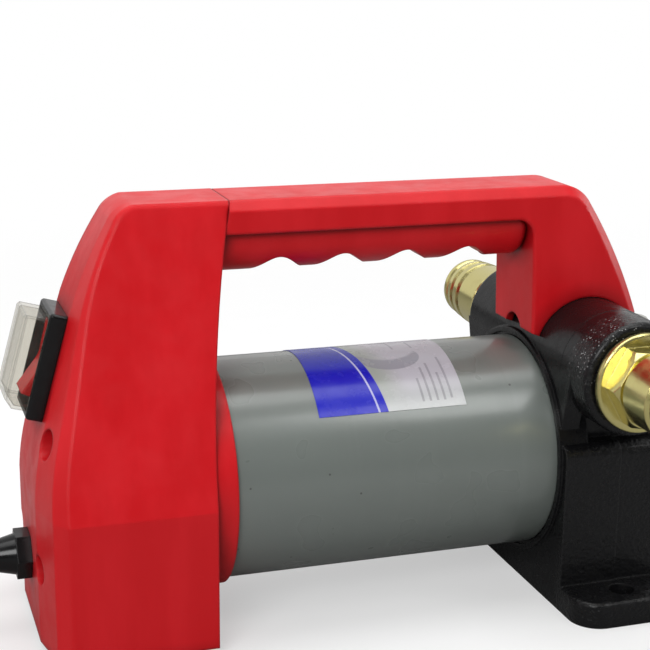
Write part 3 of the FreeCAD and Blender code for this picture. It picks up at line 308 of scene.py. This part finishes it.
def red_lens():
    m = Look("red_lens")
    soft = m.soft_edges(0.7 * MM)
    cloud = m.noise(0.006, 3, 0.6)
    base = m.blend(m.span(cloud, 0.3, 0.7), (0.4, 0.003, 0.006), (0.6, 0.008, 0.01))
    normal = m.bump(m.noise(0.0012, 2, 0.5), 0.01 * MM, soft)
    # painted light: a faint red glow makes the rocker look brighter red
    return m.done(m.principled(Base_Color=base, Roughness=0.2, Normal=normal,
                               Specular_IOR_Level=0.3,
                               Emission_Color=(0.8, 0.01, 0.005), Emission_Strength=0.12))


# The film is drawn in millimetres: `run` along the motor, `rise` around it from its near edge.
MOTOR_R_MM = 38.0
MOTOR_AXIS_Z = 50 * MM
FILM_EDGE_MM = 26.2
RULE_HALF_MM = 0.42
RULES = ((-56.0, 3.0, 22.0), (-58.6, 2.5, 14.0), (-61.2, 2.5, 19.0), (-63.8, 2.5, 17.0),
         (-66.4, 2.5, 12.0), (-69.0, 30.0, 44.0), (-62.0, 30.0, 40.0))   # run, from rise, to rise
SWEEP_RUN_MM = -73.0
SWEEP_HALF_MM = 11.5


def oval(m, run, rise, centre, half):
    """Squared distance from an oval's centre, 1 on its rim."""
    across = m.calc("DIVIDE", m.minus(run, SWEEP_RUN_MM), SWEEP_HALF_MM)
    up = m.calc("DIVIDE", m.minus(rise, centre), half)
    return m.plus(m.times(across, across), m.times(up, up))


def ruled_lines(m, run, rise):
    found = 0.0
    for place, low, high in RULES:
        near = m.calc("LESS_THAN", m.calc("ABSOLUTE", m.minus(run, place)), RULE_HALF_MM)
        between = m.times(m.calc("GREATER_THAN", rise, low), m.calc("LESS_THAN", rise, high))
        found = m.calc("MAXIMUM", found, m.times(near, between))
    return found


def printed_film():
    """A generic two-tone sticker: a blue field, a pale field and plain ruled lines."""
    m = Look("printed_film")
    x, y, z = m.xyz()
    angle = m.calc("ARCTAN2", m.minus(z, MOTOR_AXIS_Z), m.times(y, -1.0))
    rise = m.minus(m.times(angle, MOTOR_R_MM), FILM_EDGE_MM)
    run = m.times(x, 1000.0)
    bow = m.plus(m.times(rise, 0.13), m.times(m.calc("POWER", rise, 2.0), 0.0015))
    past = m.plus(run, 79.6, bow)             # how far beyond the blue field's curved end
    blue = m.blend(m.span(rise, 0.0, 45.0), (0.008, 0.011, 0.5), (0.01, 0.013, 0.33))
    stripe = m.calc("LESS_THAN", m.calc("ABSOLUTE", m.plus(past, 3.2)), 0.35)
    blue = m.blend(m.times(stripe, 0.7), blue, (0.7, 0.7, 0.85))
    pale = m.blend(m.span(past, 1.0, 12.0), (0.33, 0.36, 0.33), (0.46, 0.45, 0.5))
    # painted reflection: the pale field is lighter near its lower edge and darker above, standing
    # for a dark reflection on its upper part
    pale = m.blend(m.span(rise, 14.0, 0.0), pale, (0.56, 0.58, 0.58))
    sweep = m.times(m.span(oval(m, run, rise, 24.5, 7.5), 1.03, 0.97),
                    m.span(oval(m, run, rise, 31.5, 8.5), 0.94, 1.25))
    pale = m.blend(m.times(sweep, 0.75), pale, (0.25, 0.25, 0.29))
    pale = m.blend(m.times(ruled_lines(m, run, rise), 0.5), pale, (0.16, 0.16, 0.18))
    base = m.blend(m.span(past, -0.12, 0.12), blue, pale)
    wear = m.span(m.noise(0.004, 4, 0.65), 0.6, 0.85)
    base = m.blend(m.times(wear, 0.12), base, (0.4, 0.4, 0.42))
    normal = m.bump(m.noise(0.012, 3, 0.5), 0.09 * MM)
    normal = m.bump(m.noise(0.0008, 2, 0.5), 0.004 * MM, normal)
    rough = m.span(m.noise(0.006, 3, 0.6), 0.3, 0.75, 0.2, 0.32)
    return m.done(m.principled(Base_Color=base, Roughness=rough, Normal=normal,
                               Specular_IOR_Level=0.35, Coat_Weight=0.12, Coat_Roughness=0.1))


LOOKS = {
    "red_plastic": red_plastic(),
    "grey_paint": grey_paint(),
    "black_iron": black_iron(),
    "brass": brass(),
    "zinc_steel": metal("zinc_steel", (0.62, 0.62, 0.58), 0.24, 0.4),
    "ground_steel": metal("ground_steel", (0.56, 0.56, 0.57), 0.18, 0.3, (1, 0.05, 0.05)),
    "chrome_steel": metal("chrome_steel", (0.72, 0.72, 0.74), 0.06, 0.14, dirt=0.1),
    "laminated_steel": metal("laminated_steel", (0.34, 0.33, 0.32), 0.35, 0.5, (1, 0.02, 0.02)),
    "copper": metal("copper", (0.78, 0.32, 0.16), 0.22, 0.36, (0.1, 1, 1)),
    "die_cast": metal("die_cast", (0.5, 0.5, 0.51), 0.4, 0.55, grain_mm=0.6),
    "sinter_iron": metal("sinter_iron", (0.24, 0.24, 0.25), 0.4, 0.55, grain_mm=0.2),
    "ferrite": moulded("ferrite", (0.05, 0.05, 0.052), 0.6, 0.3, 0.03),
    "carbon": moulded("carbon", (0.03, 0.03, 0.032), 0.55, 0.2, 0.02),
    "black_rubber": moulded("black_rubber", (0.014, 0.014, 0.014), 0.62, 0.4, 0.03),
    "black_plastic": moulded("black_plastic", (0.005, 0.005, 0.0055), 0.2, 0.5, 0.006, lift=6.0),
    "acetal": moulded("acetal", (0.72, 0.69, 0.6), 0.42, 0.4, 0.01, lift=1.1),
    "red_lead": moulded("red_lead", (0.45, 0.012, 0.012), 0.4, 0.5, 0.01),
    "black_lead": moulded("black_lead", (0.012, 0.012, 0.013), 0.4, 0.5, 0.01),
    "clear_cap": clear_cap(),
    "red_lens": red_lens(),
    "printed_film": printed_film(),
}

for part in record["subparts"]:
    shown = nodes[part["node"]]
    shown.data.materials.clear()
    shown.data.materials.append(LOOKS[part["material_slot"]])


# ---- springs, copied onto the pump frame ---------------------------------------------
def live_spring(spring):
    """A copy of the coil, hung on the pump frame in place of the imported coil."""
    node, along = spring["node"], spring["mode"][-1]
    coil = bpy.data.objects.new(node + "_coil", nodes[node].data.copy())
    bpy.context.scene.collection.objects.link(coil)
    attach(coil, "pump_frame")
    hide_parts(node)
    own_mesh(coil)


for joint in record["behaviour"]["joints"]:
    for spring in joint.get("deforming_nodes", []):
        live_spring(spring)


# ---- floor ---------------------------------------------------------------------------
FLOOR_HALF = 14.0


def floor_look():
    """White card that fades into the backdrop for the camera and is dull to all else."""
    m = Look("pale_floor")
    x, y, z = m.xyz()
    away = m.calc("SQRT", m.plus(m.calc("POWER", x, 2.0), m.calc("POWER", y, 2.0)))
    speckle = m.noise(0.02, 3, 0.5)
    base = m.blend(speckle, (0.84, 0.84, 0.84), (0.88, 0.88, 0.88))
    card = m.node("BsdfDiffuse", {"Color": base}).outputs[0]
    glow = m.node("Emission", {"Color": (1, 1, 1), "Strength": 1.0}).outputs[0]
    fade = m.span(away, 0.1, 0.75, 0.45, 1.0)
    seen = m.node("MixShader", {0: fade, 1: card, 2: glow}).outputs[0]
    dull = m.node("BsdfDiffuse", {"Color": (0.3, 0.3, 0.3)}).outputs[0]
    eye = m.node("LightPath").outputs["Is Camera Ray"]
    return m.done(m.node("MixShader", {0: eye, 1: dull, 2: seen}).outputs[0])


def floor():
    mesh = bpy.data.meshes.new("floor")
    corners = [(-1, -1), (1, -1), (1, 1), (-1, 1)]
    mesh.from_pydata([(x * FLOOR_HALF, y * FLOOR_HALF, 0) for x, y in corners],
                     [], [(0, 1, 2, 3)])
    obj = bpy.data.objects.new("floor", mesh)
    bpy.context.scene.collection.objects.link(obj)
    obj.data.materials.append(floor_look())


# ---- light ---------------------------------------------------------------------------
# How bright the surroundings look to everything but the camera.
ROOM_LEVEL = 0.13
BACKDROP_LEVEL = 0.75
CEILING_LEVEL = 0.35
LEFT_WALL_LEVEL = 0.55

# Name, place, aim, width, height (metres), power (watts).
SOFTBOXES = (
    ("key", (-0.85, -1.15, 0.85), (-0.1, 0, 0.08), 0.7, 0.6, 12.5),
    ("top", (-0.1, 0.1, 1.3), (-0.08, 0, 0.08), 1.3, 0.8, 9),
    ("side", (1.0, -0.7, 0.6), (0, 0, 0.07), 0.5, 0.8, 1.5),
    ("far_fill", (1.3, 0.35, 0.5), (0, 0, 0.06), 0.7, 0.7, 3),
    ("window", (0.4, -0.6, 1.02), (-0.03, -0.03, 0.08), 0.3, 0.4, 1.9),
)


def softbox(name, place, aim, width, height, power):
    data = bpy.data.lights.new(name, "AREA")
    data.shape = "RECTANGLE"
    data.size, data.size_y = width, height
    data.energy = power
    obj = bpy.data.objects.new(name, data)
    obj.location = place
    obj.rotation_euler = (Vector(aim) - Vector(place)).to_track_quat("-Z", "Y").to_euler()
    bpy.context.scene.collection.objects.link(obj)


def surroundings():
    """Bright backdrop behind and above the object, a dark room on the camera's side."""
    world = bpy.data.worlds.new("studio")
    bpy.context.scene.world = world
    world.use_nodes = True
    tree = world.node_tree
    tree.nodes.clear()

    def ramp(value, low, high, level_low, level_high):
        inputs = {"Value": value, "From Min": low, "From Max": high, "To Min": level_low,
                  "To Max": level_high}
        return new_node(tree, "MapRange", inputs, interpolation_type="SMOOTHSTEP").outputs[0]

    def brighter(a, b):
        return new_node(tree, "Math", {0: a, 1: b}, operation="MAXIMUM").outputs[0]

    direction = new_node(tree, "TexCoord").outputs["Generated"]
    split = new_node(tree, "SeparateXYZ", {0: direction})
    backdrop = ramp(split.outputs[1], -0.35, 0.35, ROOM_LEVEL, BACKDROP_LEVEL)
    ceiling = ramp(split.outputs[2], 0.35, 0.9, 0.0, CEILING_LEVEL)
    left_wall = ramp(split.outputs[0], -0.55, -0.95, 0.0, LEFT_WALL_LEVEL)
    level = brighter(brighter(backdrop, ceiling), left_wall)
    lit = new_node(tree, "Background", {"Color": (1, 1, 1), "Strength": level}).outputs[0]
    seen = new_node(tree, "Background", {"Color": (1, 1, 1), "Strength": 1.0}).outputs[0]
    eye = new_node(tree, "LightPath").outputs["Is Camera Ray"]
    mix = new_node(tree, "MixShader", {0: eye, 1: lit, 2: seen}).outputs[0]
    new_node(tree, "OutputWorld", {"Surface": mix})


# ---- camera --------------------------------------------------------------------------
CAMERA_AT = Vector((-0.2488, -0.4764, 0.2291))
AZIMUTH = math.radians(18.134)
ELEVATION = math.radians(14.689)
ROLL = 0.0104
LENS_MM = 83.03
SENSOR_MM = 36.0


def camera():
    data = bpy.data.cameras.new("camera")
    data.lens = LENS_MM
    data.sensor_width = SENSOR_MM
    data.clip_start = 0.01
    data.clip_end = 60.0
    obj = bpy.data.objects.new("camera", data)
    ahead = Vector((math.sin(AZIMUTH) * math.cos(ELEVATION),
                    math.cos(AZIMUTH) * math.cos(ELEVATION), -math.sin(ELEVATION)))
    level_right = Vector((math.cos(AZIMUTH), -math.sin(AZIMUTH), 0))
    level_up = level_right.cross(ahead)
    right = level_right * math.cos(ROLL) + level_up * math.sin(ROLL)
    up = level_up * math.cos(ROLL) - level_right * math.sin(ROLL)
    turn = Matrix((right, up, -ahead)).transposed().to_4x4()
    obj.matrix_world = Matrix.Translation(CAMERA_AT) @ turn
    bpy.context.scene.collection.objects.link(obj)
    bpy.context.scene.camera = obj


floor()
surroundings()
for box in SOFTBOXES:
    softbox(*box)
camera()
bpy.context.scene.view_settings.view_transform = "Standard"
